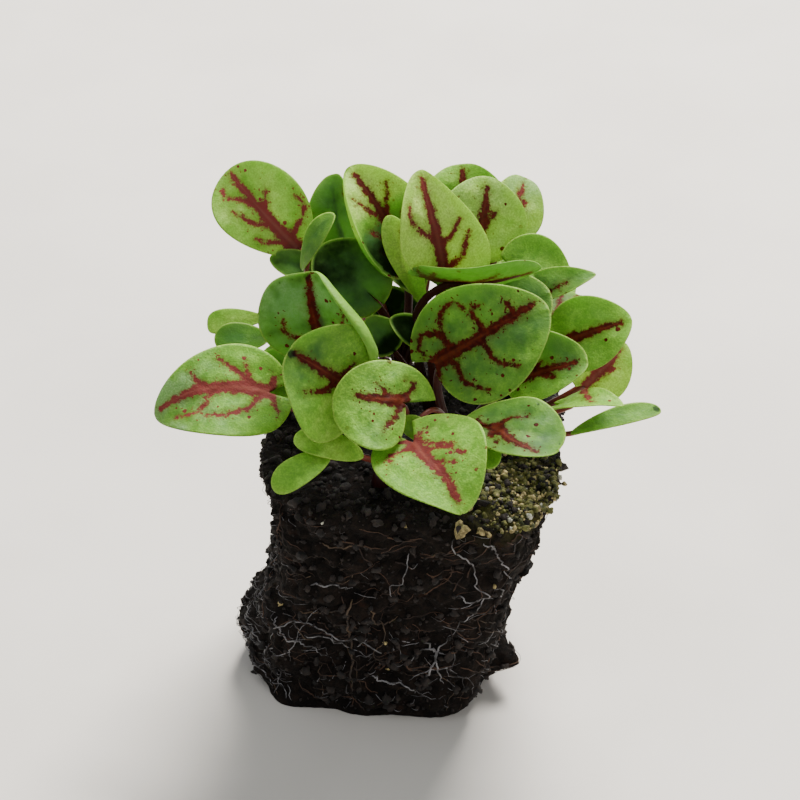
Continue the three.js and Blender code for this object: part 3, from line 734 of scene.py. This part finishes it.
class Shader:
    """A material with a Principled surface, and short ways to add nodes to it."""

    def __init__(self, name, **settings):
        self.material = bpy.data.materials.new(name)
        self.material.use_nodes = True
        self.tree = self.material.node_tree
        self.surface = self.tree.nodes["Principled BSDF"]
        self.output = self.tree.nodes["Material Output"]
        for socket, value in settings.items():
            self.surface.inputs[socket.replace("_", " ")].default_value = value
        self.place = self.node("ShaderNodeTexCoord").outputs["Object"]

    def node(self, kind, **values):
        """Adds a node. Each value is for one of its settings, or else for one of its inputs."""
        made = self.tree.nodes.new(kind)
        for key, value in values.items():
            if hasattr(made, key):
                setattr(made, key, value)
            else:
                self.put(made.inputs[key], value)
        return made

    def put(self, socket, value):
        """Gives an input a link, a number or a colour."""
        if isinstance(value, bpy.types.NodeSocket):
            self.tree.links.new(value, socket)
        else:
            socket.default_value = srgb(*value) if isinstance(value, tuple) else value

    def cover(self, socket, value):
        self.put(self.surface.inputs[socket], value)

    def attribute(self, name):
        return self.node("ShaderNodeAttribute", attribute_name=name).outputs["Fac"]

    def noise(self, size, detail=3.0, roughness=0.55):
        """Noise from 0 to 1 with features of about size mm."""
        return self.node("ShaderNodeTexNoise", Vector=self.place, Scale=1 / (size * MM), Detail=detail,
                         Roughness=roughness).outputs["Fac"]

    def math(self, operation, *values):
        made = self.node("ShaderNodeMath", operation=operation)
        for socket, value in zip(made.inputs, values):
            self.put(socket, value)
        return made.outputs[0]

    def times(self, first, second):
        return self.math("MULTIPLY", first, second)

    def plus(self, first, second):
        return self.math("ADD", first, second)

    def larger(self, first, second):
        return self.math("MAXIMUM", first, second)

    def swing(self, value, amount):
        """A value from 0 to 1 made into one from minus to plus half the amount."""
        return self.times(self.math("SUBTRACT", value, 0.5), amount)

    def ramp(self, value, low, high, to_low=0.0, to_high=1.0):
        """value from low to high, smoothly mapped to to_low to to_high."""
        made = self.node("ShaderNodeMapRange", interpolation_type="SMOOTHSTEP")
        for socket, number in zip(made.inputs, (value, low, high, to_low, to_high)):
            self.put(socket, number)
        return made.outputs["Result"]

    def mix(self, share, first, second):
        made = self.node("ShaderNodeMix", data_type="RGBA")
        colours = [s for s in made.inputs if s.type == "RGBA"]
        for socket, value in zip((made.inputs[0], *colours), (share, first, second)):
            self.put(socket, value)
        return [s for s in made.outputs if s.type == "RGBA"][0]

    def layers(self, colour, *coats):
        """A colour with coats laid over it in turn, each given as a share and a colour."""
        for share, coat in coats:
            colour = self.mix(share, colour, coat)
        return colour

    def dots(self, cell, size, share, most):
        """1 inside ragged dots, one in each chosen cell of cell mm. size is a radius in cells,
        and share times most is the share of the cells that have one."""
        cells = self.node("ShaderNodeTexVoronoi", Vector=self.ragged_place(), Scale=1 / (cell * MM))
        chosen = self.node("ShaderNodeSeparateColor", Color=cells.outputs["Color"])
        near = self.math("LESS_THAN", cells.outputs["Distance"], self.times(chosen.outputs[1], size))
        return self.times(near, self.math("LESS_THAN", chosen.outputs[0], self.times(share, most)))

    def ragged_place(self):
        """The place in the object, shifted a little by noise."""
        fuzz = self.node("ShaderNodeTexNoise", Vector=self.place, Scale=1 / (0.4 * MM))
        shift = self.node("ShaderNodeVectorMath", operation="SCALE", Vector=fuzz.outputs["Color"],
                          Scale=0.3 * MM)
        moved = self.node("ShaderNodeVectorMath", operation="ADD")
        self.put(moved.inputs[0], self.place)
        self.put(moved.inputs[1], shift.outputs[0])
        return moved.outputs[0]

    def bump(self, height, depth):
        """Bump of a height from 0 to 1 that stands for depth mm."""
        return self.node("ShaderNodeBump", Distance=depth * MM, Strength=1.0,
                         Height=height).outputs["Normal"]


def leaf_green(shader, tone, rim, mottle, grain):
    """The green of the upper face: lighter towards the rim, brighter with painted light where the tone is
    above 1, with a painted highlight on the thin margin and a painted pale sheen in patches.
    """
    painted_sheen_patches = shader.times(shader.attribute("bloom"), shader.ramp(shader.noise(3, 2), 0.35, 0.65))
    return shader.layers(
        shader.mix(mottle, (48, 82, 46), (72, 110, 58)),
        (shader.ramp(tone, 0, 1), shader.mix(mottle, (116, 170, 50), (154, 207, 74))),
        # Painted light: above a tone of 1 the green is lit as if from behind.
        (shader.ramp(tone, 1, 2), shader.mix(mottle, (188, 224, 96), (214, 241, 124))),
        (shader.ramp(rim, 2.2, 0.2, 0, 0.3), (140, 190, 50)),
        # Painted highlight on the thin margin.
        (shader.ramp(rim, 0.26, 0.05, 0, 0.6), (190, 220, 96)),
        # Painted reflection: a pale sheen in patches.
        (painted_sheen_patches, (160, 190, 140)),
        (shader.ramp(grain, 0.35, 0.66, 0.48, 0), (58, 98, 40)))


def leaf_red(shader):
    """The red of the veins, pinker in some leaves, with a painted highlight along the midrib's ridge."""
    pink = shader.attribute("pink")
    return shader.layers(
        shader.mix(shader.ramp(shader.noise(0.6, 3), 0.35, 0.65), (54, 14, 7), (92, 32, 16)),
        (shader.times(pink, 0.8), (160, 78, 74)),
        # Painted highlight along the midrib's ridge.
        (shader.ramp(shader.attribute("ridge"), 1.3, 0.1, 0, 0.36),
         shader.mix(pink, (146, 74, 42), (184, 116, 100))))


def leaf_spots(shader, vein_field):
    """Where there are red blotches close beside the veins, or dots, which thin out away from them."""
    spots = shader.attribute("spots")
    near_vein = shader.math("SUBTRACT", shader.noise(0.55, 2), shader.times(vein_field, 0.07))
    blotches = shader.times(shader.ramp(near_vein, 0.6, 0.64), shader.ramp(spots, 0, 0.8))
    dots = shader.larger(shader.dots(1.1, 0.3, spots, 0.35), shader.dots(2, 0.18, spots, 0.4))
    return shader.larger(shader.times(dots, shader.ramp(vein_field, 4, 2, 0.25, 1)), blotches)


def leaf_material():
    shader = Shader("leaf_red_veined")
    mottle = shader.ramp(shader.noise(0.9, 4, 0.6), 0.3, 0.7)
    grain = shader.noise(0.22, 2)
    speckle = shader.swing(grain, 0.45)
    tone = shader.plus(shader.attribute("tone"), shader.swing(shader.noise(3, 3), 1.5))
    rim, under, vein_field = (shader.attribute(name) for name in ("rim", "under", "vein"))
    vein = shader.plus(shader.plus(vein_field, shader.swing(shader.noise(0.85, 4, 0.6), 1.5)), speckle)
    marked = shader.larger(shader.ramp(vein, 0.18, -0.16), leaf_spots(shader, vein_field))
    specks = shader.times(shader.dots(0.8, 0.22, shader.attribute("specks"), 0.5),
                          shader.ramp(rim, 1.6, 1.2))
    upper = shader.layers(
        leaf_green(shader, tone, rim, mottle, grain),
        (shader.ramp(vein, 0.9, 0, 0, 0.4), (84, 84, 22)),
        (marked, leaf_red(shader)),
        (specks, (16, 20, 12)),
        (shader.ramp(shader.plus(shader.attribute("mark"), speckle), 0.62, 0.4), (14, 18, 14)))
    lower = shader.layers(
        shader.mix(mottle, (84, 126, 52), (114, 154, 70)),
        # Painted light: the underside is lighter where the tone is high.
        (shader.ramp(tone, 0.4, 1.6), (146, 194, 70)),
        (shader.ramp(shader.plus(vein_field, speckle), 0.15, -0.25, 0, 0.6), (104, 44, 28)))
    # Deep in the mound a leaf is in shade, apart from its rim.
    night = (10, 18, 6)
    shade = shader.times(shader.ramp(tone, -0.1, -1, 0, 0.94), shader.ramp(rim, 0.1, 0.5, 0.15, 1))
    shade = shader.times(shade, shader.ramp(under, 0, 1, 1, 0.35))
    shader.cover("Base Color", shader.mix(shade, shader.mix(under, upper, lower), night))
    relief = shader.plus(shader.times(shader.noise(0.4, 3, 0.6), 0.8), shader.times(grain, 0.5))
    shader.cover("Normal", shader.bump(relief, 0.1))
    shader.cover("Roughness", shader.ramp(shader.noise(0.5, 2), 0.3, 0.7, 0.46, 0.6))
    gloss = shader.times(shader.math("SUBTRACT", 1, shade), shader.ramp(marked, 0, 1, 0.2, 0.08))
    shader.cover("Specular IOR Level", gloss)
    # Light that shines through the blade, its colour brighter where the tone paints light and darker in
    # painted shade
    glow = shader.layers((150, 202, 92), (shader.ramp(tone, 1, 2), (206, 240, 120)),
                         (marked, (132, 40, 20)), (shade, night))
    through = shader.node("ShaderNodeBsdfTranslucent", Color=glow)
    both = shader.node("ShaderNodeMixShader")
    for socket, value in zip(both.inputs, (0.42, shader.surface.outputs[0], through.outputs[0])):
        shader.put(socket, value)
    shader.put(shader.output.inputs["Surface"], both.outputs[0])
    return shader.material


def petiole_material():
    """Dark red at the foot, lighter above, and darkened with painted shade in the middle of the mound."""
    shader = Shader("petiole_red_green", Roughness=0.4)
    uneven = shader.plus(shader.attribute("height"), shader.swing(shader.noise(2.5, 2), 0.7))
    # Painted shade in the middle of the mound.
    inside = shader.times(shader.attribute("inside"), 0.85)
    shader.cover("Base Color", shader.layers((46, 12, 11), (shader.ramp(uneven, 0.25, 0.95), (104, 44, 30)),
                                             (inside, (20, 10, 6))))
    shader.cover("Specular IOR Level", shader.ramp(inside, 0.2, 0.8, 0.4, 0.05))
    shader.cover("Normal", shader.bump(shader.noise(0.3, 2), 0.04))
    return shader.material


def peat_material():
    """Near black, with brown patches, painted shade in the hollows, and algae at the right of the top."""
    shader = Shader("peat_moist", Roughness=0.85, Specular_IOR_Level=0.15)
    grain = shader.noise(1.1, 6, 0.65)
    algae = shader.times(shader.attribute("moss"), shader.ramp(shader.noise(1.6, 4, 0.6), 0.4, 0.58))
    shader.cover("Base Color", shader.layers(
        (12, 9, 7),
        (shader.ramp(grain, 0.35, 0.72), (34, 25, 19)),
        (shader.ramp(shader.noise(2.6, 4, 0.6), 0.6, 0.72, 0, 0.6), (50, 31, 21)),
        # Painted shade: darker where the crumbled surface lies low.
        (shader.ramp(shader.attribute("height"), 0.1, -1, 0, 0.8), (6, 4, 3)),
        (algae, shader.mix(grain, (70, 72, 28), (104, 100, 46)))))
    relief = shader.plus(shader.noise(0.5, 6, 0.7), shader.times(shader.noise(1.6, 4), 0.8))
    shader.cover("Normal", shader.bump(relief, 0.6))
    return shader.material


def tinted_material(name, low, high, size, roughness, depth=0.08):
    """A plain finish between two colours that varies over size mm, with a fine grain."""
    shader = Shader(name, Roughness=roughness)
    shader.cover("Base Color", shader.mix(shader.ramp(shader.noise(size, 3), 0.35, 0.65), low, high))
    shader.cover("Normal", shader.bump(shader.noise(0.25, 4, 0.6), depth))
    return shader.material


LEAF = leaf_material()
PETIOLE = petiole_material()
PEAT = peat_material()
CRUMB = tinted_material("peat_crumb", (13, 10, 8), (38, 28, 22), 1.2, 0.85, 0.2)
FIBRE = tinted_material("peat_fibre", (30, 20, 14), (78, 54, 38), 2.0, 0.8)
ROOT = tinted_material("root_pale", (50, 48, 48), (136, 134, 136), 1.6, 0.5)
ROOT_OLD = tinted_material("root_tan", (36, 27, 20), (84, 66, 46), 1.6, 0.65)
GRIT_TAN = tinted_material("grit_tan", (104, 92, 56), (190, 172, 118), 0.7, 0.8, 0.15)
GRIT_WHITE = tinted_material("grit_white", (130, 130, 116), (206, 204, 186), 0.7, 0.8, 0.15)
MOSS = tinted_material("moss_green", (44, 48, 20), (104, 102, 48), 0.8, 0.85)


# Pieces

def finish_piece(piece, slot, *nodes):
    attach(piece, "root")
    if nodes:
        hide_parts(*nodes)


def make_seedling(name, crown, leaves):
    rng = np.random.default_rng(sum(map(ord, name)))
    blades, stems = Parts(), Parts()
    for form in leaves:
        blades.add(*blade_mesh(form, rng))
        stems.add(*petiole_mesh(form, crown))
    levels = np.linspace(PLUG_HEIGHT - STEM_DEPTH, PLUG_HEIGHT + 2, len(STEM_PROFILE))
    stems.add(*tube([[*crown, z] for z in levels], np.array(STEM_PROFILE) * STEM_RADIUS, 14))
    finish_piece(blades.make(name + "_blades", LEAF), "leaf", name)
    finish_piece(stems.make(name + "_petioles", PETIOLE), "leaf", name)


def lump(rng, place, size, squash, rough, detail=2):
    """Points and faces of an uneven lump with its middle at a place."""
    shape = bmesh.new()
    bmesh.ops.create_icosphere(shape, subdivisions=detail, radius=1)
    shift = Vector(rng.uniform(-50, 50, 3))
    turn = Euler(rng.uniform(0, 6.28, 3)).to_matrix()
    points = []
    for vertex in shape.verts:
        grown = 1 + rough * 2 * noise.noise(vertex.co * 1.4 + shift)
        p = Vector([c * s for c, s in zip(vertex.co * grown, squash)])
        points.append(turn @ p * size)
    faces = [tuple(v.index for v in face.verts) for face in shape.faces]
    shape.free()
    return np.array(points) + place, faces


def top_place(x, y):
    """Point on the crumbled top of the plug."""
    p = np.array([x, y, TOP_LEVEL])
    return p + np.array([0, 0, TOP_CRUMBLE * float(crumble(p))])


def make_soil():
    parts = Parts()
    parts.add(*plug_mesh())
    finish_piece(parts.make("soil_plug_crumbled", PEAT), "peat", "soil_plug")


def make_crumbs():
    rng = np.random.default_rng(5)
    parts = Parts()
    for _ in range(CRUMB_COUNT):
        size = 0.15 + 0.6 * rng.random() ** 4
        angle = rng.uniform(0, 2 * math.pi)
        if rng.random() < 0.45:
            place = top_points(np.array([angle]), math.sqrt(rng.uniform(0, 1)))[0][0]
        else:
            place = surface_place(angle, rng.uniform(0.9, RIM_HEIGHT), 0.1)
        place[2] = max(place[2], size + 0.1)
        parts.add(*lump(rng, place, size, rng.uniform(0.5, 1.2, 3), 0.45, 2 if size > 0.24 else 1))
    finish_piece(parts.make("peat_crumbs", CRUMB), "peat")


def wander(rng, angle, z, count, lean, out, sway):
    """A path of up to count steps over the side of the plug. lean is its direction in degrees: 0 runs
    round, -90 runs down."""
    direction = math.radians(lean)
    path = []
    for _ in range(count):
        path.append(surface_place(angle, z, out))
        direction += rng.normal(0, sway) + 0.12 * (math.radians(lean) - direction)
        angle += PATH_STEP * math.cos(direction) / PLUG_REACH
        z += PATH_STEP * math.sin(direction)
        if not 0.5 < z < 34.2:
            break
    return np.array(path)


def make_fibres():
    rng = np.random.default_rng(8)
    parts = Parts()
    for _ in range(FIBRE_COUNT):
        path = wander(rng, rng.uniform(0, 2 * math.pi), rng.uniform(1, 34), int(rng.integers(5, 14)),
                      rng.uniform(-60, 60), 0.08, 0.3)
        if len(path) > 3:
            radius = rng.uniform(0.05, 0.14)
            parts.add(*tube(path, np.linspace(radius, radius * 0.5, len(path)), 4))
    finish_piece(parts.make("peat_fibres", FIBRE), "peat")


def root_radii(radius, count, thickness):
    """Radii along a root whose thickness is given at its start, near it, near its end and at its end."""
    return radius * np.interp(np.linspace(0, 1, count), [0, 0.1, 0.8, 1], thickness)


def make_roots():
    rng = np.random.default_rng(21)
    parts = Parts()
    for _ in range(ROOT_COUNT):
        low = rng.random() < 0.65
        z = rng.uniform(1.5, 15) if low else rng.uniform(12, 33)
        lean = rng.choice([rng.uniform(-30, 30), rng.uniform(-115, -65), rng.uniform(150, 210)])
        radius = 0.035 + 0.08 * rng.random() ** 3
        depth = rng.uniform(-0.12, 0.1)
        path = wander(rng, rng.uniform(0, 2 * math.pi), z, int(rng.integers(10, 46)), lean,
                      depth + 0.3 * radius, 0.36)
        if len(path) > 4:
            radii = root_radii(radius, len(path), [0.6, 1, 0.7, 0.25])
            parts.add(*tube(path, radii, 6), slot=int(rng.random() < 0.5))
    for radius, kind, stations in LONG_ROOTS:
        route = smooth_line(stations, 12)
        sway = np.cumsum(rng.normal(0, 0.35, len(route)))
        sway -= np.linspace(0, 1, len(route)) * sway[-1]
        path = np.array([surface_place(math.radians(a + s), z + 0.25 * s, 0.5 * radius)
                         for (a, z), s in zip(route, sway)])
        parts.add(*tube(path, root_radii(radius, len(path), [0.5, 1, 0.8, 0.3]), 6), slot=kind)
    for _ in range(ROOT_HAIR_COUNT):
        z = rng.uniform(1, 34) if rng.random() < 0.4 else rng.uniform(1, 16)
        angle = rng.uniform(0, 2 * math.pi) if rng.random() < 0.6 else math.radians(rng.normal(200, 14))
        size = rng.uniform(0.25, 0.7)
        bend = rng.normal(0, 0.05, 2)
        steps = np.linspace(0, 1, 6)
        turns = angle + 2 * bend[0] * steps
        heights = np.clip(z + 20 * bend[1] * steps, 0.6, 34)
        arch = size * np.sin(math.pi * steps) - 0.1
        path = [surface_place(*place) for place in zip(turns, heights, arch)]
        parts.add(*tube(path, np.full(6, rng.uniform(0.025, 0.045)), 4))
    finish_piece(parts.make("fine_roots", ROOT, ROOT_OLD), "root", "surface_roots")


def make_grit():
    """Tan and white grains and tufts of moss at the right of the plug's top, and a few grains elsewhere."""
    rng = np.random.default_rng(33)
    parts = Parts()
    for _ in range(GRAIN_COUNT):
        x, y = rng.normal(18.5, 3.6), rng.normal(-10, 5)
        if rng.random() < 0.55:
            place = top_place(x, y)
        else:
            place = surface_place(math.atan2(y, x - PLUG_MIDDLE[0]), rng.uniform(29, RIM_HEIGHT))
        if mossy(*place) < 0.25 or not inside_rim(place):
            continue
        kind = rng.random()
        slot = 0 if kind < 0.3 else 1 if kind < 0.34 else 2
        size = 0.14 + 0.42 * rng.random() ** 3
        parts.add(*lump(rng, place, size, rng.uniform(0.6, 1.1, 3), 0.3), slot=slot)
    for heading_degrees, z, size, slot in SINGLE_GRAINS:
        place = surface_place(math.radians(heading_degrees), z, 0.1 * size)
        parts.add(*lump(rng, place, size, rng.uniform(0.6, 1.1, 3), 0.55), slot=slot)
    finish_piece(parts.make("grit_and_moss", GRIT_TAN, GRIT_WHITE, MOSS), "peat")


def inside_rim(place):
    """Whether a place is within the plug's outline, with a little room."""
    x, y = place[0] - PLUG_MIDDLE[0], place[1]
    edge = side_point(math.atan2(y, x), min(place[2], PLUG_HEIGHT), 0.9)
    return np.hypot(x, y) < np.hypot(edge[0] - PLUG_MIDDLE[0], edge[1])


for seedling_name, (crown, leaves) in SEEDLINGS.items():
    make_seedling(seedling_name, crown, leaves)
make_soil()
make_crumbs()
make_fibres()
make_roots()
make_grit()


# Floor, light and camera

# The camera's distance and target are in millimetres, those of the lights are in metres.
CAMERA_AZIMUTH, CAMERA_ELEVATION, CAMERA_DISTANCE = 7, 35, 400
CAMERA_TARGET = (2.2, 0, 41.4)
LIGHT_TARGET = (0.002, 0, 0.04)
FOCAL_PIXELS, PHOTO_PIXELS, SENSOR = 3080, 800, 36.0


def make_floor():
    bpy.ops.mesh.primitive_plane_add(size=4, location=(0, 0, -0.0001))
    floor = bpy.context.object
    floor.name = "floor"
    pale = tinted_material("floor_pale", (206, 200, 192), (212, 206, 198), 40, 0.85, 0)
    floor.data.materials.append(pale)


def hang(name, data, direction, place):
    """Puts a light or a camera at a place, turned to look back along a direction."""
    holder = bpy.data.objects.new(name, data)
    holder.location = place
    holder.rotation_euler = direction.to_track_quat("Z", "Y").to_euler()
    bpy.context.scene.collection.objects.link(holder)
    return holder


def make_light(name, azimuth, elevation, distance, size, power, colour):
    light = bpy.data.lights.new(name, "AREA")
    light.size = size
    light.energy = power
    light.color = colour
    direction = Vector(heading(azimuth, elevation))
    hang(name, light, direction, Vector(LIGHT_TARGET) + direction * distance)


def make_camera():
    camera = bpy.data.cameras.new("camera")
    camera.sensor_width = SENSOR
    camera.lens = FOCAL_PIXELS * SENSOR / PHOTO_PIXELS
    camera.clip_start = 0.01
    direction = Vector(heading(CAMERA_AZIMUTH, CAMERA_ELEVATION))
    place = (Vector(CAMERA_TARGET) + direction * CAMERA_DISTANCE) * MM
    bpy.context.scene.camera = hang("camera", camera, direction, place)


def make_sky():
    world = bpy.data.worlds.new("soft_sky")
    world.use_nodes = True
    background = world.node_tree.nodes["Background"]
    background.inputs["Color"].default_value = (0.92, 0.96, 1.0, 1)
    background.inputs["Strength"].default_value = 0.36
    bpy.context.scene.world = world


make_floor()
make_light("key_light", 165, 52, 0.8, 0.35, 25, (1.0, 0.98, 0.94))
make_light("left_light", -68, 62, 0.9, 0.8, 2.2, (0.9, 0.95, 1.0))
make_light("front_light", 40, 28, 0.9, 0.7, 2.5, (1.0, 0.99, 0.97))
make_camera()
make_sky()
